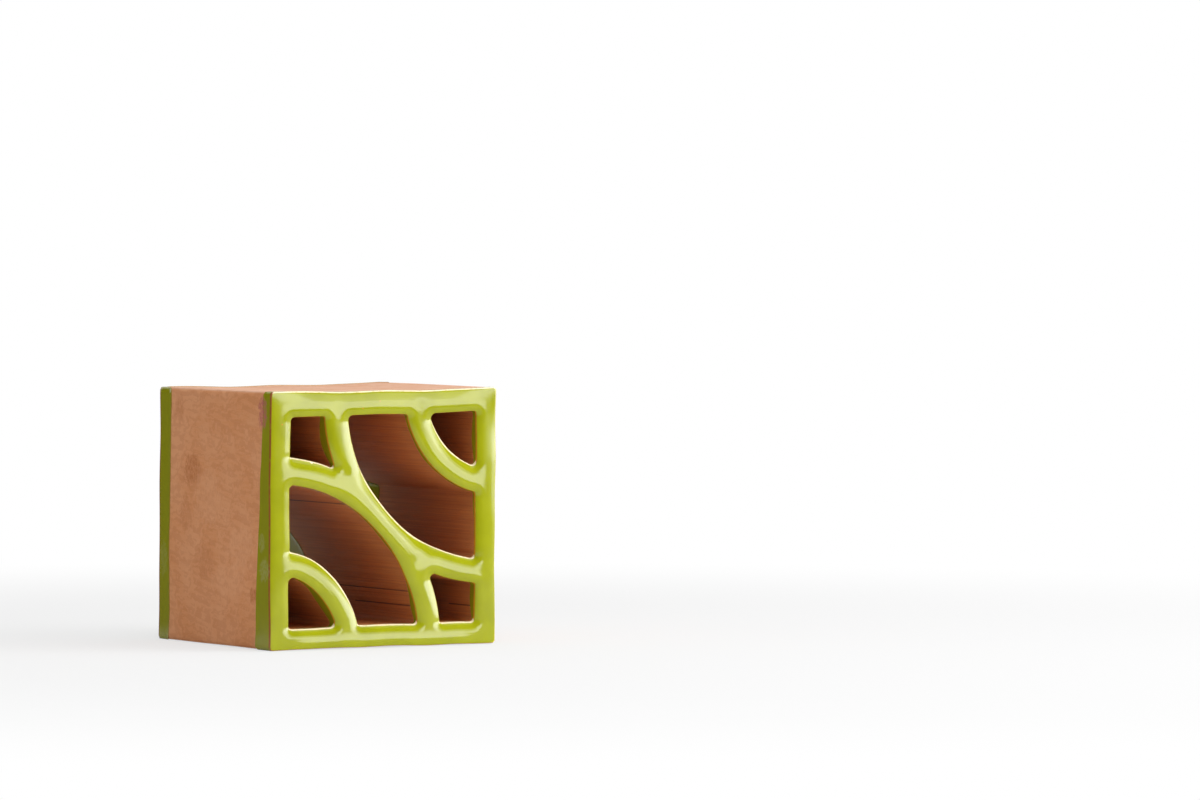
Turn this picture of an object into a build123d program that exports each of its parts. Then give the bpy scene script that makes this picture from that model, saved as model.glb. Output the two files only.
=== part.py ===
# Pierced square screen block, extruded in one piece from clay and fired.
# X is the width, Y is the depth that the clay was extruded along, Z is up.
# The origin is on the ground under the middle of the block.
from build123d import *
import os
from math import cos, hypot, radians, sin

# Overall size
block_width = 200.0
block_height = 200.0
block_depth = 190.0

# Section, the same all the way through
frame_wall = 18.0
small_arc_inner = 61.0
arc_wall = 20.0
centre_rib = 18.0
opening_corner = 2.0

# Rims of the openings: how far each is wiped down across the clay and into the opening
rim_reach = 8.0
rim_drop = 4.5
rim_flats = 4

outer_edge_round = 1.5

# The large arcs are struck from opposite corners and meet back to back,
# so their reach is what the diagonal leaves beside the rib between them.
small_arc_outer = small_arc_inner + arc_wall
large_arc_inner = (hypot(block_width, block_height) - centre_rib) / 2
large_arc_outer = large_arc_inner + arc_wall

opening_width = block_width - 2 * frame_wall
opening_height = block_height - 2 * frame_wall

back_end = Plane.XZ.offset(-block_depth / 2)
section_centre = (0, block_height / 2)
lower_left = (-block_width / 2, 0)
upper_right = (block_width / 2, block_height)

# From the largest to the smallest, the circles about both arc corners close and open the section in turn
arc_circles = (
    (large_arc_outer, Mode.SUBTRACT),
    (large_arc_inner, Mode.ADD),
    (small_arc_outer, Mode.SUBTRACT),
    (small_arc_inner, Mode.ADD),
)

# A quarter of an ellipse in narrow flats, from the end face over to the wall of the opening
rim_turns = [radians(90 * flat / rim_flats) for flat in range(rim_flats + 1)]
rim_profile = [(rim_reach * (1 - sin(turn)), rim_drop * (1 - cos(turn))) for turn in rim_turns]

with BuildPart() as breeze_block:
    with BuildSketch(back_end):
        with Locations(section_centre):
            Rectangle(block_width, block_height)
    extrude(amount=block_depth)

    # Quarter rounds, curved bands and the two small openings between the large arcs
    with BuildSketch(back_end) as openings:
        with Locations(section_centre):
            Rectangle(opening_width, opening_height)
        for radius, in_the_openings in arc_circles:
            with Locations(lower_left, upper_right):
                Circle(radius, mode=in_the_openings)
        with Locations(section_centre):
            Rectangle(opening_width, opening_height, mode=Mode.INTERSECT)
        fillet(openings.vertices(), opening_corner)
    extrude(amount=block_depth, mode=Mode.SUBTRACT)

    # Rims at the back end, then at the front end, each narrowing flat by flat down to its opening
    for end, inwards in ((0, 1), (block_depth, -1)):
        for opening in openings.sketch_local.faces():
            for reach, depth in rim_profile:
                with BuildSketch(back_end.offset(end + inwards * depth)):
                    offset(opening, amount=reach)
            loft(ruled=True, mode=Mode.SUBTRACT)

    # The outside keeps its corners, only just eased
    ends = breeze_block.faces().filter_by(Axis.Y)
    end_outlines = [edge for end in ends for edge in end.outer_wire().edges()]
    sides_by_place = breeze_block.faces().filter_by(Axis.X).sort_by(Axis.X)
    outer_sides = (sides_by_place[0], sides_by_place[-1])
    long_edges = [edge for side in outer_sides for edge in side.edges().filter_by(Axis.Y)]
    fillet(end_outlines + long_edges, outer_edge_round)

breeze_block.part.label = "breeze_block"

os.makedirs("parts", exist_ok=True)
export_step(breeze_block.part, "parts/breeze_block.step")
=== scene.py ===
import math

import bmesh
import bpy
import numpy
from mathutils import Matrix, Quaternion, Vector, noise
from numpy.polynomial.polynomial import polyval2d


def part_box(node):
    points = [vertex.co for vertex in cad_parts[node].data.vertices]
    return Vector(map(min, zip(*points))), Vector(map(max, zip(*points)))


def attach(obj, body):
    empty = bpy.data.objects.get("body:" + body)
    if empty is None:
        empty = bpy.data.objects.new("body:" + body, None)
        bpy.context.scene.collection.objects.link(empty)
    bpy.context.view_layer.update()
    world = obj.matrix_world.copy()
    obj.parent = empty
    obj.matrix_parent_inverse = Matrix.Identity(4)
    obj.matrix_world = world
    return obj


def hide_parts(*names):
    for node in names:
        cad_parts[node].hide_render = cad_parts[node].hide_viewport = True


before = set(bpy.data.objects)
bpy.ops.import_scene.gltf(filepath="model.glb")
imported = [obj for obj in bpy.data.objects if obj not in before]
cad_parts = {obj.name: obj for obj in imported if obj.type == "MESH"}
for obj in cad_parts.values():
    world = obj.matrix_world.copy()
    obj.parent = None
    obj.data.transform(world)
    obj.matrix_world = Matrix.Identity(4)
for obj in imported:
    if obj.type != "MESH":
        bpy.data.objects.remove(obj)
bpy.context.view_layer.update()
blockLow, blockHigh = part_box("breeze_block")
width, depth, height = blockHigh - blockLow
print("frame loaded, block", [round(side, 4) for side in (width, depth, height)])


# Small helpers for building node trees

def feed(tree, socket, value):
    if isinstance(value, bpy.types.NodeSocket):
        tree.links.new(value, socket)
    else:
        socket.default_value = value


def addNode(tree, kind, inputs=None, **settings):
    node = tree.nodes.new(kind)
    for name, value in settings.items():
        setattr(node, name, value)
    for name, value in (inputs or {}).items():
        feed(tree, node.inputs[name], value)
    return node


def calc(tree, operation, *values, clamp=False):
    node = tree.nodes.new("ShaderNodeMath")
    node.operation = operation
    node.use_clamp = clamp
    for socket, value in zip(node.inputs, values):
        feed(tree, socket, value)
    return node.outputs[0]


def axisOf(tree, vector, axis):
    return addNode(tree, "ShaderNodeSeparateXYZ", {0: vector}).outputs[axis]


def vectorCalc(tree, operation, *values):
    node = tree.nodes.new("ShaderNodeVectorMath")
    node.operation = operation
    for index, value in enumerate(values):
        isScale = operation == "SCALE" and index == 1
        feed(tree, node.inputs["Scale" if isScale else index], value)
    return node.outputs["Value" if operation in ("LENGTH", "DOT_PRODUCT") else "Vector"]


def ramp(tree, value, low, high, toLow=0.0, toHigh=1.0):
    # smooth step from toLow to toHigh
    settings = {"Value": value, "From Min": low, "From Max": high, "To Min": toLow, "To Max": toHigh}
    node = addNode(tree, "ShaderNodeMapRange", settings, interpolation_type="SMOOTHSTEP")
    return node.outputs[0]


def noiseOf(tree, vector, scale, detail=2.0, roughness=0.5):
    settings = {"Vector": vector, "Scale": scale, "Detail": detail, "Roughness": roughness}
    return addNode(tree, "ShaderNodeTexNoise", settings, noise_dimensions="3D").outputs[0]


def namedField(tree, name, dataType="FLOAT"):
    node = addNode(tree, "GeometryNodeInputNamedAttribute", {"Name": name}, data_type=dataType)
    return node.outputs["Attribute"]


def storeField(tree, geometry, name, value, dataType="FLOAT", domain="POINT", selection=True):
    node = addNode(tree, "GeometryNodeStoreNamedAttribute", {
        "Geometry": geometry, "Name": name, "Selection": selection}, data_type=dataType, domain=domain)
    feed(tree, node.inputs["Value"], value)
    return node.outputs["Geometry"]


def choose(tree, switch, whenFalse, whenTrue, kind="FLOAT"):
    inputs = {0: switch, 1: whenFalse, 2: whenTrue}
    return addNode(tree, "GeometryNodeSwitch", inputs, input_type=kind).outputs[0]


def newTree(name, sockets):
    tree = bpy.data.node_groups.new(name, "GeometryNodeTree")
    tree.is_modifier = True
    tree.interface.new_socket("Geometry", in_out="INPUT", socket_type="NodeSocketGeometry")
    tree.interface.new_socket("Geometry", in_out="OUTPUT", socket_type="NodeSocketGeometry")
    for socketName, value in sockets.items():
        kind = "Int" if isinstance(value, int) else "Float"
        if isinstance(value, bpy.types.Material):
            kind = "Material"
        socket = tree.interface.new_socket(socketName, in_out="INPUT", socket_type=f"NodeSocket{kind}")
        socket.default_value = value
    return tree, tree.nodes.new("NodeGroupInput").outputs, tree.nodes.new("NodeGroupOutput")


def addModifier(piece, tree, sockets):
    modifier = piece.modifiers.new(tree.name, "NODES")
    modifier.node_group = tree
    for item in tree.interface.items_tree:
        if item.item_type == "SOCKET" and item.in_out == "INPUT" and item.name in sockets:
            modifier[item.identifier] = sockets[item.name]


# Section of the block, drawn flat: x to the right, y up, the origin in the middle

section = {
    "frameWall": 0.018,
    "smallArcInner": 0.061,
    "arcWall": 0.020,
    "centreRib": 0.018,
    "openingCorner": 0.0027,
    "outerCorner": 0.0018,
    "arcStep": 0.0006,       # spacing of the points drawn along an arc
    "pointStep": 0.0010,     # and of all points, once spaced out evenly
    "widestCrown": 0.013,
    "crownBlend": 5,         # points on each side that a crown's reach is evened out over
    "sway": 0.0010,          # how far the ribs stray from their drawn line
    "swayLength": 0.040,
    "swaySeed": 6,           # without one the noise would start from the clock
    # The pierced part sank while the clay was soft: metres upwards, by powers of x and of y across the
    # face from -1 to 1. Then how much wider each opening came out, in the order they are drawn in.
    "sinking": ((-0.0030, -0.0013, 0.0027), (0.0006, 0.0002, -0.0002), (0.0001, 0.0011, 0.0)),
    "growth": (0.0, 0.0007, 0.0001, -0.0008, 0.0005, 0.0001, -0.0001),
}


def arcPoints(centre, radius, start, end):
    # angles in degrees, counter-clockwise where the end is the larger
    turn = math.radians(end - start)
    steps = max(3, math.ceil(abs(turn) * radius / section["arcStep"]))
    angles = [math.radians(start) + turn * step / steps for step in range(steps + 1)]
    return [(centre[0] + radius * math.cos(a), centre[1] + radius * math.sin(a)) for a in angles]


def otherLeg(longSide, leg):
    return math.sqrt(longSide ** 2 - leg ** 2)


def sectionOutlines():
    # measured from the lower left corner, which its two arcs are struck from
    wall, corner = section["frameWall"], section["openingCorner"]
    nearInner = section["smallArcInner"]
    nearOuter = nearInner + section["arcWall"]
    halfDiagonal = math.hypot(width, height) / 2
    farInner = halfDiagonal - section["centreRib"] / 2
    farOuter = farInner + section["arcWall"]
    inset = wall + corner                      # middle of a corner's round, from the outside

    def cornerAt(reach):
        # where a round of the opening's corner sits against an arc and the frame, and its angle
        along = otherLeg(reach, inset)
        return along, math.degrees(math.atan2(inset, along))

    quarterEnd, quarterTurn = cornerAt(nearInner - corner)
    quarter = (
        arcPoints((inset, inset), corner, 180, 270)
        + arcPoints((quarterEnd, inset), corner, -90, quarterTurn)
        + arcPoints((0, 0), nearInner, quarterTurn, 90 - quarterTurn)
        + arcPoints((inset, quarterEnd), corner, 90 - quarterTurn, 180)
    )

    bandStart, startTurn = cornerAt(nearOuter + corner)
    bandEnd, endTurn = cornerAt(farInner - corner)
    band = (
        arcPoints((bandStart, inset), corner, 180 + startTurn, 270)
        + arcPoints((bandEnd, inset), corner, -90, endTurn)
        + arcPoints((0, 0), farInner, endTurn, 90 - endTurn)
        + arcPoints((inset, bandEnd), corner, 90 - endTurn, 180)
        + arcPoints((inset, bandStart), corner, 180, 270 - startTurn)
        + arcPoints((0, 0), nearOuter, 90 - startTurn, startTurn)
    )

    # the small opening in the upper left corner lies outside both large arcs
    smallSide, sideTurn = cornerAt(farOuter + corner)
    rise = otherLeg(farOuter + corner, halfDiagonal) / (2 * halfDiagonal)
    tip = (width / 2 - rise * height, height / 2 + rise * width)
    tipTurn = math.degrees(math.atan2(tip[1], tip[0]))
    tipToRight = math.degrees(math.atan2(height - tip[1], width - tip[0]))
    small = (
        arcPoints((inset, height - inset), corner, 90, 180)
        + arcPoints((inset, smallSide), corner, 180, 270 - sideTurn)
        + arcPoints((0, 0), farOuter, 90 - sideTurn, tipTurn)
        + arcPoints(tip, corner, 180 + tipTurn, 360 + tipToRight)
        + arcPoints((width, height), farOuter, 180 + tipToRight, 180 + sideTurn)
        + arcPoints((width - smallSide, height - inset), corner, sideTurn, 90)
    )

    middle = (width / 2, height / 2)
    openings = [[(x - middle[0], y - middle[1]) for x, y in outline] for outline in (quarter, band, small)]
    openings += [[(-x, -y) for x, y in outline] for outline in openings]     # half a turn gives the rest

    halfX, halfY = width / 2 - section["outerCorner"], height / 2 - section["outerCorner"]
    corners = ((halfX, halfY, 0), (-halfX, halfY, 90), (-halfX, -halfY, 180), (halfX, -halfY, 270))
    outside = [point for x, y, start in corners
               for point in arcPoints((x, y), section["outerCorner"], start, start + 90)]
    return [outside[::-1]] + openings     # so the clay lies on the same side of every outline


def normalsOf(outline):
    # into the clay
    ahead = numpy.roll(outline, -1, axis=0) - numpy.roll(outline, 1, axis=0)
    return numpy.stack((ahead[:, 1], -ahead[:, 0]), axis=1) / numpy.hypot(*ahead.T)[:, None]


def spacedOut(outline, growth):
    corners = numpy.array(outline + outline[:1])
    lengths = numpy.concatenate(([0.0], numpy.cumsum(numpy.hypot(*numpy.diff(corners, axis=0).T))))
    stops = numpy.linspace(0.0, lengths[-1], math.ceil(lengths[-1] / section["pointStep"]), endpoint=False)
    points = numpy.stack([numpy.interp(stops, lengths, corners[:, axis]) for axis in (0, 1)], axis=1)
    strays = [noise.noise_vector(Vector((x, y, 0.3)) / section["swayLength"])[:2] for x, y in points]
    sunken = numpy.zeros_like(points)
    sunken[:, 1] = polyval2d(points[:, 0] * 2 / width, points[:, 1] * 2 / height, section["sinking"])
    return points + growth * normalsOf(points) + sunken + section["sway"] * numpy.array(strays)


def crownReaches(outline, others):
    # from each point of an outline, how far it is to the middle of the rib behind it
    gaps = others[None] - outline[:, None]
    along = (gaps * normalsOf(outline)[:, None]).sum(axis=2)
    radii = (gaps ** 2).sum(axis=2) / (2 * numpy.maximum(along, 0.00001))
    reaches = numpy.where(along > 0.0001, radii, section["widestCrown"]).min(axis=1)
    blend = section["crownBlend"]
    nearby = [numpy.roll(reaches, shift) for shift in range(-blend, blend + 1)]
    return numpy.minimum(reaches, numpy.mean(nearby, axis=0))


def outlineCurves():
    # the radius of each point carries its crown's reach into the tree
    noise.seed_set(section["swaySeed"])
    curve = bpy.data.curves.new("sectionOutlines", "CURVE")
    curve.dimensions = "2D"
    outlines = [spacedOut(outline, growth) for outline, growth in zip(sectionOutlines(), section["growth"])]
    for index, outline in enumerate(outlines):
        others = numpy.concatenate(outlines[:index] + outlines[index + 1:])
        spline = curve.splines.new("POLY")
        spline.points.add(len(outline) - 1)
        spline.points.foreach_set("co", [value for x, y in outline for value in (x, y, 0.0, 1.0)])
        spline.points.foreach_set("radius", crownReaches(outline, others))
        spline.use_cyclic_u = True
    return curve


# The extrusion: rings of mesh follow each outline over its rim and along the wall to half the depth,
# from both ends. Along the walls they crowd round the line where the glaze stops.

extrusion = {
    "Width": width,
    "Height": height,
    "Depth": depth,
    "Opening Spacing": 0.00115,
    "Outside Spacing": 0.0026,
    "Crown Share": 0.94,          # how much of each rib falls away towards its openings
    "Crown Power": 1.3,
    "Rim Slope": 0.48,            # how steep it is where the rim itself turns over
    "Rim Round": 0.0014,
    "Edge Reach": 0.0085,         # the same for the outer edge
    "Edge Slope": 0.21,
    "Edge Slope Change": -0.14,   # added at the top, taken off at the bottom
    "Corner Ease": 0.90,          # how much of its slope the edge loses towards its corners
    "Edge Round": 0.0011,
    "Wire Drag": 0.14,            # the cutting wire left every rib leaning back this much
    "Rim Wander": 0.03,           # share by which rims differ along their way
    "Front Glaze Outside": 0.0195,
    "Front Glaze Lean": 0.0062,   # deeper towards the bottom
    "Back Glaze Outside": 0.0200,
    "Back Glaze Lean": -0.0015,
    "Bed Glaze": 0.0050,          # on the top and the bottom, which were wiped
    "Front Glaze Inside": 0.0052,
    "Back Glaze Inside": 0.0310,
    "Outside Glaze Wander": 0.0022,
    "Inside Glaze Wander": 0.0040,
    "Glaze Thickness": 0.00035,
    "Glaze Bead": 0.00014,        # how much thicker its edge is
    "Drag Depth": 0.00022,        # grooves along the inner walls, left by the die
    "Warp": 0.0007,
    "Lean": 0.0016,               # the top sits this far to the right of the foot
    "Slope Rings": 7,
    "Round Rings": 4,
    "Glaze Rings": 4,
    "Bead Rings": 4,              # on each side of the glaze's edge
    "Bead Spread": 0.0011,
    "Clay Rings": 4,
    "Seed": 7.0,
}

# where the glaze stops, and how its end line wanders
glazeLine = {
    "bedStart": (0.955, 0.970),   # share of the half height at which the top and the bottom begin
    "bedEnds": (1.0, 0.95),       # and of the half width at which they end
    "bedWander": 0.3,
    "waveLength": 0.055,
    "waveShare": 0.45,
    "rippleLength": 0.012,
    "rippleShare": 0.1,
    "leastPastRim": 0.0004,       # the line stays at least this far behind the rim
    "rise": (-0.00008, 0.00045),  # the glaze swells up between these distances from its end
    "fall": (0.0005, 0.0011),     # and its bead flattens out between these
    "clayStart": (-0.0002, -0.0006),
}

# what varies along the rims and the walls
rimShape = {
    "swayLength": 0.028,
    "roundChange": 0.4,           # rounder where a rim faces up
    "cornerEase": (0.60, 0.97),   # from the middle of a side to the block's corner
    "dragSpacing": 0.0034,
    "hollowDepths": (0.004, 0.001),   # hollows begin and are full at these depths behind the front
    "warpScale": 9.0,
    "mergeDistance": 0.00002,
}

# where the front glaze ran deeper into the openings: place on the face, reach, extra depth
glazeRuns = (
    (-0.047, 0.060, 0.034, 0.0075),
    (-0.050, -0.064, 0.036, 0.0085),
    (0.029, -0.070, 0.026, 0.0060),
    (0.082, -0.062, 0.030, 0.0055),
    (0.082, 0.060, 0.030, 0.0030),
)

# hollows in the front face where ribs meet, and a chip: place on the face, reach, depth
hollows = (
    (-0.0411, 0.0857, 0.0056, 0.00080),
    (0.0321, 0.0882, 0.0048, 0.00060),
    (-0.0616, 0.0448, 0.0022, 0.00045),
    (0.0330, -0.0330, 0.0100, 0.00030),
    (-0.0330, 0.0330, 0.0100, 0.00030),
)


def wander(tree, vector, waveLength, seed):
    # from -1 to 1
    settings = {"Vector": vector, "W": seed, "Scale": 1.0 / waveLength, "Detail": 1.0}
    waves = addNode(tree, "ShaderNodeTexNoise", settings, noise_dimensions="4D").outputs[0]
    return ramp(tree, waves, 0.25, 0.75, -1.0, 1.0)


def glazeDepth(tree, given, place, isOutside, end, seed):
    # how far the glaze reaches from an end: deeper inside the openings at the back than at the front
    isFront = calc(tree, "GREATER_THAN", end, 0.0)
    up = calc(tree, "DIVIDE", axisOf(tree, place, "Y"), calc(tree, "DIVIDE", given["Height"], 2.0))
    lean = choose(tree, isFront, given["Back Glaze Lean"], given["Front Glaze Lean"])
    outside = choose(tree, isFront, given["Back Glaze Outside"], given["Front Glaze Outside"])
    outside = calc(tree, "SUBTRACT", outside, calc(tree, "MULTIPLY", lean, up))
    across = calc(tree, "DIVIDE", axisOf(tree, place, "X"), calc(tree, "DIVIDE", given["Width"], 2.0))
    onBed = calc(tree, "MULTIPLY", ramp(tree, calc(tree, "ABSOLUTE", up), *glazeLine["bedStart"]),
                 ramp(tree, calc(tree, "ABSOLUTE", across), *glazeLine["bedEnds"]))
    outside = calc(tree, "ADD", outside, calc(tree, "MULTIPLY", onBed, calc(
        tree, "SUBTRACT", given["Bed Glaze"], outside)))
    frontInside = given["Front Glaze Inside"]
    for x, y, runReach, extra in glazeRuns:
        runDistance = vectorCalc(tree, "LENGTH", vectorCalc(tree, "SUBTRACT", place, (x, y, 0.0)))
        frontInside = calc(tree, "ADD", frontInside, ramp(tree, runDistance, runReach, 0.0, 0.0, extra))
    inside = choose(tree, isFront, given["Back Glaze Inside"], frontInside)
    level = choose(tree, isOutside, inside, outside)
    amount = choose(tree, isOutside, given["Inside Glaze Wander"], given["Outside Glaze Wander"])
    amount = calc(tree, "MULTIPLY", amount, ramp(tree, onBed, 0.0, 1.0, 1.0, glazeLine["bedWander"]))
    waves = wander(tree, place, glazeLine["waveLength"], calc(tree, "ADD", seed, end))
    ripples = wander(tree, place, glazeLine["rippleLength"], calc(tree, "ADD", seed, end))
    sway = calc(tree, "ADD", calc(tree, "MULTIPLY", waves, glazeLine["waveShare"]),
                calc(tree, "MULTIPLY", ripples, glazeLine["rippleShare"]))
    return calc(tree, "ADD", level, calc(tree, "MULTIPLY", amount, sway))


def extrusionTree(finish):
    tree, given, result = newTree("extrudeBlock", extrusion | {"Finish": finish})
    place = addNode(tree, "GeometryNodeInputPosition").outputs[0]
    seed = given["Seed"]
    splineIndex = addNode(tree, "GeometryNodeFieldOnDomain", {
        0: addNode(tree, "GeometryNodeInputIndex").outputs[0]}, data_type="INT", domain="CURVE").outputs[0]
    isOutside = calc(tree, "LESS_THAN", splineIndex, 0.5)

    # the outer edge shrinks towards the middle, the rims grow out of their openings
    spacing = choose(tree, isOutside, given["Opening Spacing"], given["Outside Spacing"])
    resampled = addNode(tree, "GeometryNodeResampleCurve", {
        "Curve": given["Geometry"], "Length": spacing}, mode="LENGTH").outputs[0]
    tangent = addNode(tree, "GeometryNodeInputTangent").outputs[0]
    awayFromOpening = vectorCalc(tree, "CROSS_PRODUCT", tangent, (0.0, 0.0, 1.0))
    halfSize = addNode(tree, "ShaderNodeCombineXYZ", {
        "X": calc(tree, "DIVIDE", given["Width"], -2.0), "Y": calc(tree, "DIVIDE", given["Height"], -2.0),
        "Z": 1.0}).outputs[0]
    towardsMiddle = vectorCalc(tree, "DIVIDE", place, halfSize)
    up = calc(tree, "MULTIPLY", axisOf(tree, towardsMiddle, "Y"), -1.0)
    edgeFacesUp = calc(tree, "POWER", up, 3.0)
    rimFacesUp = calc(tree, "MULTIPLY", axisOf(tree, awayFromOpening, "Y"), -1.0)
    sideways = axisOf(tree, towardsMiddle, "X")
    toCorner = calc(tree, "ABSOLUTE", calc(tree, "MULTIPLY", sideways, up))
    spread = choose(tree, isOutside, awayFromOpening, towardsMiddle, "VECTOR")
    rimSway = calc(tree, "MULTIPLY", given["Rim Wander"], wander(tree, place, rimShape["swayLength"], seed))
    rimSway = calc(tree, "MULTIPLY", calc(tree, "ADD", 1.0, rimSway), given["Crown Share"])
    rimReach = calc(tree, "MULTIPLY", addNode(tree, "GeometryNodeInputRadius").outputs[0], rimSway)
    rimRound = calc(tree, "MULTIPLY", given["Rim Round"], calc(
        tree, "ADD", 1.0, calc(tree, "MULTIPLY", rimFacesUp, rimShape["roundChange"])))
    reach = choose(tree, isOutside, rimReach, calc(tree, "MINIMUM", rimReach, given["Edge Reach"]))
    edgeSlope = calc(tree, "ADD", given["Edge Slope"], calc(
        tree, "MULTIPLY", given["Edge Slope Change"], edgeFacesUp))
    eased = calc(tree, "SUBTRACT", 1.0, calc(tree, "MULTIPLY", given["Corner Ease"], ramp(
        tree, toCorner, *rimShape["cornerEase"])))
    edgeSlope = calc(tree, "MULTIPLY", edgeSlope, eased)
    edgeLean = calc(tree, "MULTIPLY", edgeFacesUp, eased)
    slope = choose(tree, isOutside, given["Rim Slope"], edgeSlope)
    turnRadius = choose(tree, isOutside, rimRound, given["Edge Round"])
    leanBack = calc(tree, "MULTIPLY", given["Wire Drag"], choose(tree, isOutside, rimFacesUp, edgeLean))
    outlines = storeField(tree, resampled, "outlinePlace", place, "FLOAT_VECTOR")
    outlines = storeField(tree, outlines, "outside", isOutside)
    outlines = storeField(tree, outlines, "spread", spread, "FLOAT_VECTOR")
    outlines = storeField(tree, outlines, "reach", reach)
    outlines = storeField(tree, outlines, "slope", slope)
    outlines = storeField(tree, outlines, "round", turnRadius)
    outlines = storeField(tree, outlines, "leanBack", leanBack)
    startPlace = namedField(tree, "outlinePlace", "FLOAT_VECTOR")
    spreadNamed = namedField(tree, "spread", "FLOAT_VECTOR")
    outsideNamed, end = namedField(tree, "outside"), namedField(tree, "end")
    reachNamed, slopeNamed, roundNamed = (namedField(tree, name) for name in ("reach", "slope", "round"))
    leanNamed = namedField(tree, "leanBack")
    glazeNamed = namedField(tree, "glaze")
    halfDepth = calc(tree, "MULTIPLY", given["Depth"], 0.5)

    def ringPlace(offset, ringDepth):
        lifted = addNode(tree, "ShaderNodeCombineXYZ", {
            "Z": calc(tree, "MULTIPLY", end, calc(tree, "SUBTRACT", halfDepth, ringDepth))}).outputs[0]
        moved = vectorCalc(tree, "ADD", startPlace, vectorCalc(tree, "SCALE", spreadNamed, offset))
        return vectorCalc(tree, "ADD", moved, lifted)

    # flat clay between the rims, then the first ring of each end
    halves = []
    for sign in (1.0, -1.0):
        ends = storeField(tree, outlines, "end", sign)
        flatRing = addNode(tree, "GeometryNodeSetPosition", {
            "Geometry": ends, "Position": ringPlace(reachNamed, halfDepth)}).outputs[0]
        flat = addNode(tree, "GeometryNodeFillCurve", {"Curve": flatRing}, mode="TRIANGLES").outputs[0]
        flat = addNode(tree, "GeometryNodeTransform", {
            "Geometry": flat, "Translation": addNode(tree, "ShaderNodeCombineXYZ", {
                "Z": calc(tree, "MULTIPLY", halfDepth, sign)}).outputs[0]}).outputs[0]
        flat = storeField(tree, flat, "glazeInset", 0.01)
        firstRing = addNode(tree, "GeometryNodeSetPosition", {
            "Geometry": ends, "Position": ringPlace(reachNamed, 0.0)}).outputs[0]
        edges = addNode(tree, "GeometryNodeCurveToMesh", {"Curve": firstRing}).outputs[0]
        edges = storeField(tree, edges, "leading", True, "BOOLEAN", "EDGE")
        glazeReach = glazeDepth(tree, given, startPlace, outsideNamed, sign, seed)
        edges = storeField(tree, edges, "glaze", glazeReach)
        edges = storeField(tree, edges, "glazeInset", 0.01)

        # ring after ring, down the rim and along the wall to half the depth
        repeatIn = tree.nodes.new("GeometryNodeRepeatInput")
        repeatOut = tree.nodes.new("GeometryNodeRepeatOutput")
        repeatIn.pair_with_output(repeatOut)
        slopeRings, roundRings = given["Slope Rings"], given["Round Rings"]
        glazeRings, beadRings = given["Glaze Rings"], given["Bead Rings"]
        rimRings = calc(tree, "ADD", slopeRings, roundRings)
        beadAll = calc(tree, "MULTIPLY", beadRings, 2.0)
        wallRings = calc(tree, "ADD", glazeRings, calc(tree, "ADD", beadAll, given["Clay Rings"]))
        feed(tree, repeatIn.inputs["Iterations"], calc(tree, "ADD", rimRings, wallRings))
        feed(tree, repeatIn.inputs["Geometry"], edges)
        ring = calc(tree, "ADD", repeatIn.outputs["Iteration"], 1.0)
        turn = calc(tree, "MINIMUM", calc(tree, "DIVIDE", ring, rimRings), 1.0)

        # first an ever steeper slope, then a small round from that slope to the wall
        startAngle = calc(tree, "ARCTANGENT", calc(tree, "ADD", slopeNamed, leanNamed))
        startSine, startCosine = (calc(tree, name, startAngle) for name in ("SINE", "COSINE"))
        roundShare = calc(tree, "DIVIDE", calc(tree, "SUBTRACT", ring, slopeRings), roundRings, clamp=True)
        angle = calc(tree, "ADD", startAngle, calc(tree, "MULTIPLY", roundShare, calc(
            tree, "SUBTRACT", math.pi / 2, startAngle)))
        roundReach = calc(tree, "MULTIPLY", roundNamed, calc(tree, "SUBTRACT", 1.0, startSine))
        slopeReach = calc(tree, "SUBTRACT", reachNamed, roundReach)
        slopeShare = calc(tree, "DIVIDE", ring, slopeRings, clamp=True)
        slopeWay = calc(tree, "MULTIPLY", slopeReach, slopeShare)
        steepening = calc(tree, "DIVIDE", calc(tree, "POWER", slopeShare, given["Crown Power"]),
                          calc(tree, "ADD", given["Crown Power"], 1.0))
        slopeDrop = calc(tree, "MULTIPLY", calc(tree, "MULTIPLY", slopeNamed, slopeWay), steepening)
        slopeDrop = calc(tree, "ADD", slopeDrop, calc(tree, "MULTIPLY", leanNamed, slopeWay))
        turned = calc(tree, "SUBTRACT", calc(tree, "SINE", angle), startSine)
        ringReach = calc(tree, "SUBTRACT", calc(tree, "SUBTRACT", reachNamed, slopeWay), calc(
            tree, "MULTIPLY", roundNamed, turned))
        sunk = calc(tree, "SUBTRACT", startCosine, calc(tree, "COSINE", angle))
        ringDrop = calc(tree, "ADD", slopeDrop, calc(tree, "MULTIPLY", roundNamed, sunk))
        fullSlope = calc(tree, "DIVIDE", slopeNamed, calc(tree, "ADD", given["Crown Power"], 1.0))
        fullSlope = calc(tree, "MULTIPLY", slopeReach, calc(tree, "ADD", fullSlope, leanNamed))
        fullDrop = calc(tree, "ADD", fullSlope, calc(tree, "MULTIPLY", roundNamed, startCosine))

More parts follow.
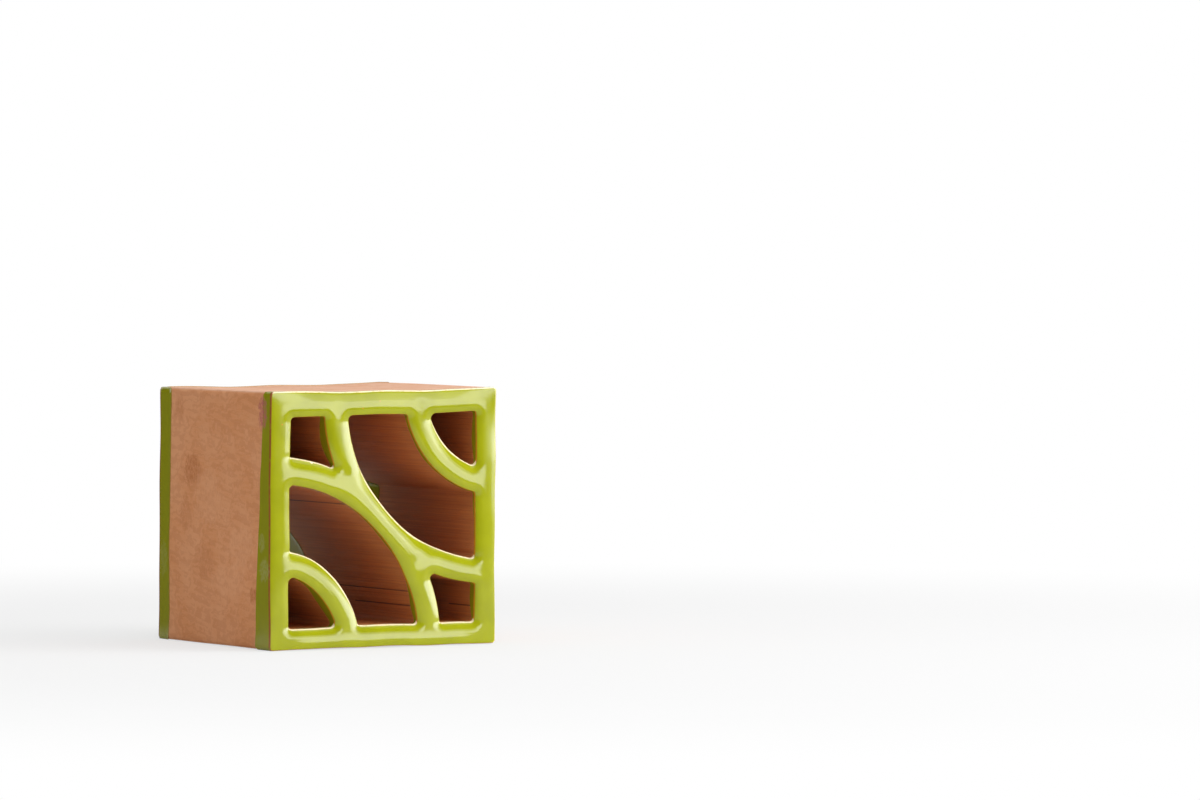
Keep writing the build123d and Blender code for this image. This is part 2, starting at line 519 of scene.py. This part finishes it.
        # rings past the rim: on the glaze, across its bead, then on the bare clay
        past = calc(tree, "SUBTRACT", ring, rimRings)
        pastGlaze = calc(tree, "SUBTRACT", past, glazeRings)
        leastGlaze = calc(tree, "ADD", fullDrop, calc(
            tree, "ADD", given["Bead Spread"], glazeLine["leastPastRim"]))
        glazeEdge = calc(tree, "MAXIMUM", glazeNamed, leastGlaze)
        beadStart = calc(tree, "SUBTRACT", glazeEdge, given["Bead Spread"])
        glazeStretch = calc(tree, "SUBTRACT", beadStart, fullDrop)
        glazePart = calc(tree, "MULTIPLY", glazeStretch, calc(tree, "DIVIDE", past, glazeRings, clamp=True))
        beadStep = calc(tree, "DIVIDE", calc(tree, "SUBTRACT", pastGlaze, beadRings), beadRings)
        beadStep = calc(tree, "MAXIMUM", calc(tree, "MINIMUM", beadStep, 1.0), -1.0)
        beadStep = calc(tree, "MULTIPLY", beadStep, calc(tree, "ABSOLUTE", beadStep))
        beadPart = calc(tree, "MULTIPLY", given["Bead Spread"], calc(tree, "ADD", beadStep, 1.0))
        clayStretch = calc(tree, "SUBTRACT", halfDepth, calc(tree, "ADD", glazeEdge, given["Bead Spread"]))
        clayPast = calc(tree, "SUBTRACT", pastGlaze, beadAll)
        clayShare = calc(tree, "DIVIDE", clayPast, given["Clay Rings"], clamp=True)
        clayPart = calc(tree, "MULTIPLY", clayStretch, clayShare)
        wallPart = calc(tree, "ADD", glazePart, calc(tree, "ADD", beadPart, clayPart))
        ringDepth = calc(tree, "ADD", ringDrop, wallPart)

        # the glaze stands proud of the clay, most of all along its edge
        inset = calc(tree, "SUBTRACT", glazeEdge, ringDepth)
        fullHeight = calc(tree, "ADD", given["Glaze Thickness"], given["Glaze Bead"])
        rise = calc(tree, "MULTIPLY", fullHeight, ramp(tree, inset, *glazeLine["rise"]))
        fall = calc(tree, "MULTIPLY", given["Glaze Bead"], ramp(tree, inset, *glazeLine["fall"]))
        recess = calc(tree, "SUBTRACT", fullHeight, calc(tree, "SUBTRACT", rise, fall))
        isClay = ramp(tree, inset, *glazeLine["clayStart"])
        isInside = calc(tree, "SUBTRACT", 1.0, outsideNamed)
        drag = calc(tree, "MULTIPLY", wander(tree, startPlace, rimShape["dragSpacing"], seed),
                    calc(tree, "MULTIPLY", isClay, isInside))
        offset = calc(tree, "ADD", ringReach, calc(tree, "ADD", recess,
                      calc(tree, "MULTIPLY", given["Drag Depth"], drag)))
        extrude = addNode(tree, "GeometryNodeExtrudeMesh", {
            "Mesh": repeatIn.outputs["Geometry"], "Selection": namedField(tree, "leading", "BOOLEAN"),
            "Offset Scale": 0.0}, mode="EDGES")
        isTop = extrude.outputs["Top"]
        placed = addNode(tree, "GeometryNodeSetPosition", {
            "Geometry": extrude.outputs["Mesh"], "Selection": isTop,
            "Position": ringPlace(offset, ringDepth)}).outputs[0]
        placed = storeField(tree, placed, "glazeInset", inset, selection=isTop)
        placed = storeField(tree, placed, "rimTurn", calc(tree, "ADD", turn, wallPart), selection=isTop)
        placed = storeField(tree, placed, "leading", isTop, "BOOLEAN", "EDGE")
        feed(tree, repeatOut.inputs["Geometry"], placed)
        halves += [flat, repeatOut.outputs["Geometry"]]

    whole = addNode(tree, "GeometryNodeJoinGeometry")
    for part in halves:
        tree.links.new(part, whole.inputs[0])
    merged = addNode(tree, "GeometryNodeMergeByDistance", {
        "Geometry": whole.outputs[0], "Distance": rimShape["mergeDistance"]}).outputs[0]

    # hollows press the front face in
    flatPlace = vectorCalc(tree, "MULTIPLY", place, (1.0, 1.0, 0.0))
    nearFront = ramp(tree, axisOf(tree, place, "Z"), *(
        calc(tree, "SUBTRACT", halfDepth, behind) for behind in rimShape["hollowDepths"]))
    sunken = 0.0
    for x, y, hollowReach, hollowDepth in hollows:
        hollowDistance = vectorCalc(tree, "LENGTH", vectorCalc(tree, "SUBTRACT", flatPlace, (x, y, 0.0)))
        sunken = calc(tree, "ADD", sunken, ramp(tree, hollowDistance, hollowReach, 0.0, 0.0, -hollowDepth))
    sunken = calc(tree, "MULTIPLY", sunken, nearFront)
    dents = addNode(tree, "ShaderNodeCombineXYZ", {"Z": sunken}).outputs[0]
    pressed = addNode(tree, "GeometryNodeSetPosition", {"Geometry": merged, "Offset": dents}).outputs[0]

    # a little warp from drying and firing, then the block is set upright inside its box
    swing = addNode(tree, "ShaderNodeTexNoise", {
        "Vector": place, "W": seed, "Scale": rimShape["warpScale"], "Detail": 1.0},
        noise_dimensions="4D").outputs["Color"]
    swing = vectorCalc(tree, "SCALE", vectorCalc(tree, "SUBTRACT", swing, (0.5, 0.5, 0.5)),
                       calc(tree, "MULTIPLY", given["Warp"], 2.0))
    lean = calc(tree, "MULTIPLY", given["Lean"], axisOf(tree, place, "Y"))
    lean = calc(tree, "DIVIDE", lean, given["Height"])
    swing = vectorCalc(tree, "ADD", swing, addNode(tree, "ShaderNodeCombineXYZ", {"X": lean}).outputs[0])
    warped = addNode(tree, "GeometryNodeSetPosition", {"Geometry": pressed, "Offset": swing}).outputs[0]
    upright = addNode(tree, "GeometryNodeTransform", {
        "Geometry": warped, "Rotation": (math.pi / 2, 0.0, 0.0)}).outputs[0]
    room = addNode(tree, "GeometryNodeBoundBox", {"Geometry": upright})
    share = vectorCalc(tree, "DIVIDE", vectorCalc(tree, "SUBTRACT", place, room.outputs["Min"]),
                       vectorCalc(tree, "SUBTRACT", room.outputs["Max"], room.outputs["Min"]))
    size = addNode(tree, "ShaderNodeCombineXYZ", {
        "X": given["Width"], "Y": given["Depth"], "Z": given["Height"]}).outputs[0]
    inPlace = vectorCalc(tree, "MULTIPLY", vectorCalc(tree, "SUBTRACT", share, (0.5, 0.5, 0.0)), size)
    fitted = addNode(tree, "GeometryNodeSetPosition", {"Geometry": upright, "Position": inPlace}).outputs[0]
    smooth = addNode(tree, "GeometryNodeSetShadeSmooth", {"Geometry": fitted}).outputs[0]
    realized = addNode(tree, "GeometryNodeRealizeInstances", {"Geometry": smooth}).outputs[0]
    finished = addNode(tree, "GeometryNodeSetMaterial", {
        "Geometry": realized, "Material": given["Finish"]}).outputs[0]
    tree.links.new(finished, result.inputs[0])
    return tree


def makeBlock(finish):
    outlines = bpy.data.objects.new("outlineCurves", outlineCurves())
    bpy.context.scene.collection.objects.link(outlines)
    addModifier(outlines, extrusionTree(finish), extrusion | {"Finish": finish})
    graph = bpy.context.evaluated_depsgraph_get()
    mesh = bpy.data.meshes.new_from_object(outlines.evaluated_get(graph))
    bpy.data.objects.remove(outlines)
    for leftover in ("leading", "outlinePlace", "spread", "reach", "slope", "round", "leanBack", "end",
                     "glaze"):
        if leftover in mesh.attributes:
            mesh.attributes.remove(mesh.attributes[leftover])
    shell = bmesh.new()
    shell.from_mesh(mesh)
    bmesh.ops.recalc_face_normals(shell, faces=shell.faces)
    shell.to_mesh(mesh)
    shell.free()
    mesh.name = "glazedBlock"
    block = bpy.data.objects.new("glazedBlock", mesh)
    bpy.context.scene.collection.objects.link(block)
    print("block extruded,", sum(len(face.vertices) - 2 for face in mesh.polygons), "triangles")
    return block


# One finish: matt red clay, and lime glaze fused over both ends. The mesh says where each is.

glazedClay = {
    "clayColour": (0.65, 0.278, 0.118, 1.0),
    "clayPale": (0.73, 0.365, 0.195, 1.0),
    # painted sheen: the top face's paler colour
    "topSheenPaint": (0.74, 0.46, 0.33, 1.0),
    "clayStain": (0.46, 0.165, 0.060, 1.0),
    "claySmear": (0.45, 0.140, 0.110, 1.0),
    "paleSmudge": (0.62, 0.60, 0.38, 1.0),
    "innerClay": (0.62, 0.235, 0.068, 1.0),
    "innerDark": (0.50, 0.175, 0.052, 1.0),
    "innerLine": (0.07, 0.022, 0.008, 1.0),
    "limeGlaze": (0.350, 0.370, 0.006, 1.0),
    "limeDeep": (0.270, 0.290, 0.003, 1.0),
    "sideGlaze": (0.270, 0.270, 0.008, 1.0),
    # the break line's colours, chosen by facing: cream and yellow are painted highlight, brown and red
    # painted shade; the cream also colours a chip and the brown the pinholes
    "creamChipAndEdgeHighlight": (0.96, 0.82, 0.52, 1.0),
    "yellowEdgeHighlight": (0.80, 0.62, 0.10, 1.0),
    "brownPinholeAndEdgeShade": (0.60, 0.26, 0.020, 1.0),
    "redEdgeShade": (0.30, 0.095, 0.025, 1.0),
    "clayRoughness": 0.90,
    "innerRoughness": 0.62,
    "glazeRoughness": 0.10,
    "claySpecular": 0.12,
    "innerSpecular": 0.55,
    "glazeSpecular": 0.50,
    "wallGlazeSpecular": 0.12,    # the thin glaze inside the openings
    "cloudShare": 0.55,           # how strongly each pattern shows
    "strokeShare": 0.30,
    "wipeShare": 0.24,
    "speckShare": 0.35,
    "paintedTopSheenShare": (0.90, 0.55),
    "broadDragShare": 0.45,
    "innerLineShare": 0.80,
    "innerLineWidth": (0.0007, 0.0003),
    "deepShare": 0.50,
    "glazeEndShare": 0.60,
    "markRaggedness": 1.6,
    "edgeRuffle": 0.0004,
    "grainHeight": 0.00012,       # relief of the bump
    "dragHeight": 0.0005,
    "glazeWaveHeight": 0.00005,
}

# marks on the left side: colour, place along the depth, height, half sizes along both, strength
sideMarks = (
    ("clayStain", 0.0370, 0.1350, 0.0190, 0.0150, 0.75),
    ("clayStain", 0.0150, 0.0650, 0.0200, 0.0180, 0.30),
    ("clayStain", 0.0610, 0.1820, 0.0110, 0.0130, 0.40),
    ("clayStain", 0.0480, 0.1000, 0.0130, 0.0170, 0.35),
    ("clayPale", 0.0100, 0.1150, 0.0300, 0.0260, 0.50),
    ("clayPale", -0.0450, 0.0780, 0.0260, 0.0200, 0.60),
    ("clayPale", -0.0250, 0.0500, 0.0340, 0.0160, 0.40),
    ("clayStain", -0.0660, 0.0415, 0.0075, 0.0070, 0.85),
)
# the same for marks that lie over the glaze as well
bandMarks = (
    ("claySmear", -0.0810, 0.1830, 0.0085, 0.0155, 1.20),
    ("paleSmudge", -0.0810, 0.0830, 0.0060, 0.0090, 0.16),
    ("paleSmudge", -0.0850, 0.0620, 0.0090, 0.0110, 0.18),
    ("paleSmudge", 0.0850, 0.0640, 0.0080, 0.0160, 0.10),
)
# marks in the glaze of the front face: colour, place across, height, reach
frontMarks = (
    ("creamChipAndEdgeHighlight", -0.0616, 0.1448, 0.0022),
    ("creamChipAndEdgeHighlight", -0.0590, 0.1440, 0.0012),
    ("brownPinholeAndEdgeShade", -0.0186, 0.1849, 0.0007),
    ("brownPinholeAndEdgeShade", -0.0035, 0.1903, 0.0006),
    ("brownPinholeAndEdgeShade", -0.0888, 0.1735, 0.0007),
)
# dark lines pulled along the inner walls: place across, height, how far back they reach
innerLines = (
    (0.0262, 0.0425, 0.0300),
    (0.0294, 0.0310, 0.0050),
    (0.0820, 0.0298, -0.0520),
    (-0.0325, 0.1112, 0.0950),
    (0.0815, 0.1205, 0.0950),
)


def mixColour(tree, factor, first, second):
    node = addNode(tree, "ShaderNodeMix", data_type="RGBA", blend_type="MIX")
    feed(tree, node.inputs[0], factor)
    feed(tree, node.inputs[6], first)
    feed(tree, node.inputs[7], second)
    return node.outputs[2]


def mixNumber(tree, factor, first, second):
    return addNode(tree, "ShaderNodeMix", {0: factor, 2: first, 3: second}, data_type="FLOAT").outputs[0]


def meshField(tree, name):
    node = addNode(tree, "ShaderNodeAttribute", attribute_name=name, attribute_type="GEOMETRY")
    return node.outputs["Fac"]


def makeFinish():
    finish = bpy.data.materials.new("glazedClay")
    finish.use_nodes = True
    tree = finish.node_tree
    shader = tree.nodes["Principled BSDF"]
    coordinates = addNode(tree, "ShaderNodeTexCoord")
    place = coordinates.outputs["Object"]
    normal = addNode(tree, "ShaderNodeSeparateXYZ", {0: coordinates.outputs["Normal"]})
    separated = addNode(tree, "ShaderNodeSeparateXYZ", {0: place})
    inset, rimTurn, outside = (meshField(tree, name) for name in ("glazeInset", "rimTurn", "outside"))

    def stretched(scale):
        return vectorCalc(tree, "MULTIPLY", place, scale)

    def tinted(colour, colourName, field, share):
        return mixColour(tree, calc(tree, "MULTIPLY", field, share), colour, glazedClay[colourName])

    edgeRuffle = calc(tree, "SUBTRACT", noiseOf(tree, place, 900.0), 0.5)
    edgeRuffle = calc(tree, "MULTIPLY", edgeRuffle, glazedClay["edgeRuffle"])
    glazed = ramp(tree, calc(tree, "ADD", inset, edgeRuffle), -0.00005, 0.00015)

    # clay: patchy outside, brown with long drag marks inside the openings; the top face is made paler by
    # painted sheen
    clouds = ramp(tree, noiseOf(tree, place, 24.0, 4.0, 0.6), 0.32, 0.68)
    strokes = ramp(tree, noiseOf(tree, stretched((60.0, 60.0, 420.0)), 1.0, 4.0, 0.65), 0.35, 0.70)
    wipes = ramp(tree, noiseOf(tree, vectorCalc(tree, "ADD", stretched((0.0, 70.0, 210.0)), vectorCalc(
        tree, "SCALE", (0.0, 1.0, 0.6), calc(tree, "MULTIPLY", clouds, 3.0))), 1.0, 2.0, 0.5), 0.46, 0.56)
    specks = ramp(tree, noiseOf(tree, place, 1100.0, 1.0), 0.66, 0.74)
    outerClay = tinted(glazedClay["clayColour"], "clayPale", clouds, glazedClay["cloudShare"])
    outerClay = tinted(outerClay, "clayPale", strokes, glazedClay["strokeShare"])
    outerClay = tinted(outerClay, "clayStain", wipes, glazedClay["wipeShare"])
    outerClay = tinted(outerClay, "clayStain", specks, glazedClay["speckShare"])
    # painted sheen and light: where the clay faces up it is tinted paler, standing in for the light and
    # reflection the top catches
    facesTop = ramp(tree, normal.outputs["Z"], 0.5, 0.9)
    paintedTopSheen = ramp(tree, calc(tree, "ADD", clouds, wipes), 0.0, 2.0, *glazedClay["paintedTopSheenShare"])
    outerClay = tinted(outerClay, "topSheenPaint", facesTop, paintedTopSheen)
    onLeft = calc(tree, "MULTIPLY", outside, ramp(tree, normal.outputs["X"], -0.5, -0.9))

    def marked(colour, marks):
        ragged = calc(tree, "SUBTRACT", noiseOf(tree, place, 170.0, 4.0, 0.65), 0.5)
        ragged = calc(tree, "MULTIPLY", ragged, glazedClay["markRaggedness"])
        scratches = noiseOf(tree, stretched((0.0, 620.0, 260.0)), 1.0, 3.0, 0.7)
        scratches = ramp(tree, scratches, 0.38, 0.58, 0.25, 1.0)
        for colourName, deep, high, sizeDeep, sizeHigh, strength in marks:
            fromMark = vectorCalc(tree, "SUBTRACT", place, (0.0, deep, high))
            fromMark = vectorCalc(tree, "MULTIPLY", fromMark, (0.0, 1.0 / sizeDeep, 1.0 / sizeHigh))
            within = ramp(tree, calc(tree, "ADD", vectorCalc(tree, "LENGTH", fromMark), ragged), 1.0, 0.55)
            within = calc(tree, "MULTIPLY", calc(tree, "MULTIPLY", within, onLeft), strength, clamp=True)
            within = calc(tree, "MULTIPLY", within, scratches)
            colour = mixColour(tree, within, colour, glazedClay[colourName])
        return colour

    outerClay = marked(outerClay, sideMarks)
    drags = noiseOf(tree, stretched((1300.0, 6.0, 1300.0)), 1.0, 4.0, 0.7)
    paleDrags = ramp(tree, drags, 0.36, 0.64)
    innerClay = mixColour(tree, paleDrags, glazedClay["innerDark"], glazedClay["innerClay"])
    broadDrags = noiseOf(tree, stretched((190.0, 5.0, 190.0)), 1.0, 2.0, 0.5)
    broadDrags = ramp(tree, broadDrags, 0.45, 0.75, 0.0, glazedClay["broadDragShare"])
    innerClay = mixColour(tree, broadDrags, innerClay, glazedClay["innerDark"])
    lines = 0.0
    for across, high, deepEnd in innerLines:
        fromLine = vectorCalc(tree, "LENGTH", vectorCalc(tree, "MULTIPLY", vectorCalc(
            tree, "SUBTRACT", place, (across, 0.0, high)), (0.15, 0.0, 1.0)))
        within = ramp(tree, separated.outputs["Y"], deepEnd + 0.002, deepEnd)
        within = calc(tree, "MULTIPLY", ramp(tree, fromLine, *glazedClay["innerLineWidth"]), within)
        lines = calc(tree, "MAXIMUM", lines, within)
    innerClay = tinted(innerClay, "innerLine", lines, glazedClay["innerLineShare"])
    clay = mixColour(tree, outside, innerClay, outerClay)

    # glaze: deeper where it lies thick, olive where it runs thin over the sides and into the openings
    depths = ramp(tree, noiseOf(tree, place, 45.0, 2.0), 0.35, 0.7)
    lime = tinted(glazedClay["limeGlaze"], "limeDeep", depths, glazedClay["deepShare"])
    onWall = ramp(tree, rimTurn, 0.93, 1.0)
    glaze = mixColour(tree, onWall, lime, glazedClay["sideGlaze"])

    # lines where the glaze breaks thin over the edges, wider where they face up or left; their colours by
    # facing are painted light, with painted highlight where they face up or right and painted shade
    # elsewhere
    facesUp = ramp(tree, normal.outputs["Z"], 0.12, 0.30)
    facesRight = ramp(tree, normal.outputs["X"], 0.15, 0.40)
    broken = ramp(tree, noiseOf(tree, place, 260.0, 3.0), 0.28, 0.50, 0.6, 1.0)
    lineStart = ramp(tree, facesRight, 0.0, 1.0, 0.74, 0.68)
    lineStart = calc(tree, "SUBTRACT", lineStart, calc(tree, "MULTIPLY", facesUp, 0.15))
    outerLeft = calc(tree, "MULTIPLY", outside, ramp(tree, normal.outputs["X"], -0.15, -0.40))
    lineStart = calc(tree, "SUBTRACT", lineStart, calc(tree, "MULTIPLY", outerLeft, 0.08))
    edgeLine = calc(tree, "MULTIPLY", ramp(tree, calc(tree, "SUBTRACT", rimTurn, lineStart), 0.0, 0.10),
                    ramp(tree, rimTurn, 1.0014, 1.0006))
    # painted highlight and shade: cream on up-facing edges, yellow on right-facing ones, brown elsewhere,
    # red on the outer left
    paintedLightEdgeColour = mixColour(tree, facesRight, glazedClay["brownPinholeAndEdgeShade"], glazedClay["yellowEdgeHighlight"])
    paintedLightEdgeColour = mixColour(tree, facesUp, paintedLightEdgeColour, glazedClay["creamChipAndEdgeHighlight"])
    paintedLightEdgeColour = mixColour(tree, outerLeft, paintedLightEdgeColour, glazedClay["redEdgeShade"])
    glaze = mixColour(tree, calc(tree, "MULTIPLY", edgeLine, broken), glaze, paintedLightEdgeColour)
    onFront = ramp(tree, separated.outputs["Y"], -0.088, -0.090)
    for colourName, across, high, markReach in frontMarks:
        fromMark = vectorCalc(tree, "LENGTH", vectorCalc(tree, "MULTIPLY", vectorCalc(
            tree, "SUBTRACT", place, (across, 0.0, high)), (1.0, 0.0, 1.0)))
        within = ramp(tree, calc(tree, "ADD", fromMark, edgeRuffle), markReach, markReach * 0.6)
        glaze = mixColour(tree, calc(tree, "MULTIPLY", within, onFront), glaze, glazedClay[colourName])
    # darker brown along the end of the glaze on the outer sides
    glazeEnd = calc(tree, "MULTIPLY", ramp(tree, inset, 0.0008, 0.0001), outside)
    glaze = tinted(glaze, "clayStain", glazeEnd, glazedClay["glazeEndShare"])

    tree.links.new(marked(mixColour(tree, glazed, clay, glaze), bandMarks), shader.inputs["Base Color"])
    clayRoughness = ramp(tree, outside, 0.0, 1.0, glazedClay["innerRoughness"], glazedClay["clayRoughness"])
    roughness = mixNumber(tree, glazed, clayRoughness, glazedClay["glazeRoughness"])
    tree.links.new(roughness, shader.inputs["Roughness"])
    claySpecular = ramp(tree, outside, 0.0, 1.0, glazedClay["innerSpecular"], glazedClay["claySpecular"])
    isInside = calc(tree, "SUBTRACT", 1.0, outside)
    isInnerWall = calc(tree, "MULTIPLY", onWall, isInside)
    glazeSpecular = ramp(tree, isInnerWall, 0.0, 1.0, glazedClay["glazeSpecular"],
                         glazedClay["wallGlazeSpecular"])
    specular = mixNumber(tree, glazed, claySpecular, glazeSpecular)
    tree.links.new(specular, shader.inputs["Specular IOR Level"])

    grain = calc(tree, "MULTIPLY", noiseOf(tree, place, 1500.0, 3.0, 0.6), glazedClay["grainHeight"])
    dragRelief = calc(tree, "MULTIPLY", drags, calc(tree, "MULTIPLY", isInside, glazedClay["dragHeight"]))
    clayHeight = calc(tree, "ADD", grain, dragRelief)
    glazeHeight = calc(tree, "MULTIPLY", noiseOf(tree, place, 45.0, 1.0), glazedClay["glazeWaveHeight"])
    relief = mixNumber(tree, glazed, clayHeight, glazeHeight)
    bump = addNode(tree, "ShaderNodeBump", {"Strength": 1.0, "Distance": 1.0, "Height": relief})
    tree.links.new(bump.outputs[0], shader.inputs["Normal"])
    print("finish made")
    return finish


# Floor, background and light

studio = {
    "floorColour": (0.72, 0.72, 0.72, 1.0),
    "floorReach": 30.0,
    "hiddenColour": (0.02, 0.02, 0.02, 1.0),
    "poolRadius": (0.35, 1.3),       # the floor fades to white between these distances from the block
    "poolWhite": (0.62, 1.0),
    "tableCentre": (0.25, -0.35, 0.0),   # in reflections it is a pale round table on a dark floor
    "tableRadius": (0.55, 0.90),
    "tableShade": (0.10, 0.93),
    "brightTurn": (38.0, 52.0),      # and bright from these degrees on, towards the box on the right
    "brightEnd": (100.0, 115.0),     # until these
    "ambient": 0.42,
    "backdropDirection": (0.50, 0.86, 0.05),
    "backdropSpread": (0.62, 0.80),  # cosine from that direction at which the white begins and is full
    "levelBelow": 1.0,               # lamps hung lower than this shine level, the others at the block
    "aimHeight": 0.1,
}


def seenRays(tree):
    # rays that show the background, and those that only carry light
    seen = addNode(tree, "ShaderNodeLightPath")
    reflected = calc(tree, "MAXIMUM", seen.outputs["Is Glossy Ray"], seen.outputs["Is Transmission Ray"])
    return seen.outputs["Is Camera Ray"], reflected


def makeFloor():
    mesh = bpy.data.meshes.new("floor")
    reach = studio["floorReach"]
    mesh.from_pydata([(-reach, -reach, 0), (reach, -reach, 0), (reach, reach, 0), (-reach, reach, 0)], [],
                     [(0, 1, 2, 3)])
    floor = bpy.data.objects.new("floor", mesh)
    bpy.context.scene.collection.objects.link(floor)
    pale = bpy.data.materials.new("paleFloor")
    pale.use_nodes = True
    tree = pale.node_tree
    tree.nodes.clear()
    place = addNode(tree, "ShaderNodeTexCoord").outputs["Object"]
    away = vectorCalc(tree, "LENGTH", place)
    nearWhite = ramp(tree, away, *studio["poolRadius"], *studio["poolWhite"])
    isCamera, isReflected = seenRays(tree)
    awayFromTable = vectorCalc(tree, "LENGTH", vectorCalc(tree, "SUBTRACT", place, studio["tableCentre"]))
    shade = ramp(tree, awayFromTable, *studio["tableRadius"], *studio["tableShade"])
    turn = calc(tree, "ARCTAN2", axisOf(tree, place, "X"), calc(
        tree, "MULTIPLY", axisOf(tree, place, "Y"), -1.0))
    brightStart = ramp(tree, turn, *(math.radians(angle) for angle in studio["brightTurn"]))
    brightEnd = ramp(tree, turn, *(math.radians(angle) for angle in studio["brightEnd"]), 1.0, 0.0)
    bright = calc(tree, "MULTIPLY", brightStart, brightEnd)
    shade = calc(tree, "MULTIPLY", shade, calc(tree, "SUBTRACT", 1.0, bright))
    hidden = calc(tree, "MULTIPLY", isReflected, shade)
    colour = mixColour(tree, hidden, studio["floorColour"], studio["hiddenColour"])
    lit = addNode(tree, "ShaderNodeBsdfDiffuse", {"Color": colour})
    white = addNode(tree, "ShaderNodeEmission", {"Color": (1.0, 1.0, 1.0, 1.0), "Strength": 1.0})
    blend = addNode(tree, "ShaderNodeMixShader", {0: calc(tree, "MULTIPLY", isCamera, nearWhite)})
    tree.links.new(lit.outputs[0], blend.inputs[1])
    tree.links.new(white.outputs[0], blend.inputs[2])
    out = addNode(tree, "ShaderNodeOutputMaterial")
    tree.links.new(blend.outputs[0], out.inputs[0])
    mesh.materials.append(pale)


def makeWorld():
    world = bpy.data.worlds.new("studio")
    bpy.context.scene.world = world
    world.use_nodes = True
    tree = world.node_tree
    tree.nodes.clear()
    direction = addNode(tree, "ShaderNodeTexCoord").outputs["Generated"]
    towards = vectorCalc(tree, "DOT_PRODUCT", direction, Vector(studio["backdropDirection"]).normalized())
    backdrop = ramp(tree, towards, *studio["backdropSpread"])
    isCamera, isReflected = seenRays(tree)
    dark = calc(tree, "MULTIPLY", isReflected, calc(tree, "SUBTRACT", 1.0, backdrop))
    whiteShare = calc(tree, "MAXIMUM", isCamera, calc(tree, "MULTIPLY", isReflected, backdrop))
    strength = calc(tree, "MULTIPLY", studio["ambient"], calc(tree, "SUBTRACT", 1.0, dark))
    strength = calc(tree, "ADD", strength, calc(tree, "MULTIPLY", whiteShare, 1.0 - studio["ambient"]))
    background = addNode(tree, "ShaderNodeBackground", {"Color": (1.0, 1.0, 1.0, 1.0), "Strength": strength})
    out = addNode(tree, "ShaderNodeOutputWorld")
    tree.links.new(background.outputs[0], out.inputs[0])


lamps = {
    # name: degrees round from the front towards the right, distance, height, width and height of the box,
    # roll, brightness, whether it shows in the glaze
    "rightBox": (52.0, 5.0, 0.60, 8.5, 1.30, -4.0, 5.6, True),
    "rightGlow": (52.0, 5.0, 1.55, 8.5, 0.60, -4.0, 2.4, True),
    "overhead": (20.0, 0.5, 1.5, 2.2, 1.7, 0.0, 1.5, True),
    "key": (48.0, 1.5, 1.15, 1.0, 0.8, 0.0, 2.6, False),
    "leftFill": (-100.0, 1.8, 0.7, 1.2, 1.0, 0.0, 0.88, True),
    "lowBox": (60.0, 2.3, 0.26, 1.5, 0.5, 0.0, 3.0, True),
}


def makeLamps():
    for name, (turn, distance, rise, across, up, roll, brightness, shows) in lamps.items():
        data = bpy.data.lights.new(name, "AREA")
        data.shape = "RECTANGLE"
        data.size, data.size_y = across, up
        data.energy = brightness * math.pi * across * up
        lamp = bpy.data.objects.new(name, data)
        around = math.radians(turn)
        lamp.location = (distance * math.sin(around), -distance * math.cos(around), rise)
        aimHeight = rise if rise < studio["levelBelow"] else studio["aimHeight"]
        aim = Vector((0.0, 0.0, aimHeight)) - lamp.location
        facing = aim.to_track_quat("-Z", "Y") @ Quaternion((0.0, 0.0, 1.0), math.radians(roll))
        lamp.rotation_euler = facing.to_euler()
        lamp.visible_camera = False
        lamp.visible_glossy = shows
        bpy.context.scene.collection.objects.link(lamp)


camera = {
    "place": (-2.723, -5.100, 0.3505),
    "tilt": 88.397,
    "pan": -30.22,
    "lens": 221.7,
}


def makeCamera():
    data = bpy.data.cameras.new("camera")
    data.lens = camera["lens"]
    data.clip_end = 100.0
    view = bpy.data.objects.new("camera", data)
    view.location = camera["place"]
    view.rotation_euler = (math.radians(camera["tilt"]), 0.0, math.radians(camera["pan"]))
    bpy.context.scene.collection.objects.link(view)
    bpy.context.scene.camera = view


makeCamera()
glazedBlock = makeBlock(makeFinish())
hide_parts("breeze_block")
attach(glazedBlock, "root")

makeFloor()
makeWorld()
makeLamps()
bpy.context.scene.view_settings.view_transform = "Standard"
print("studio set")
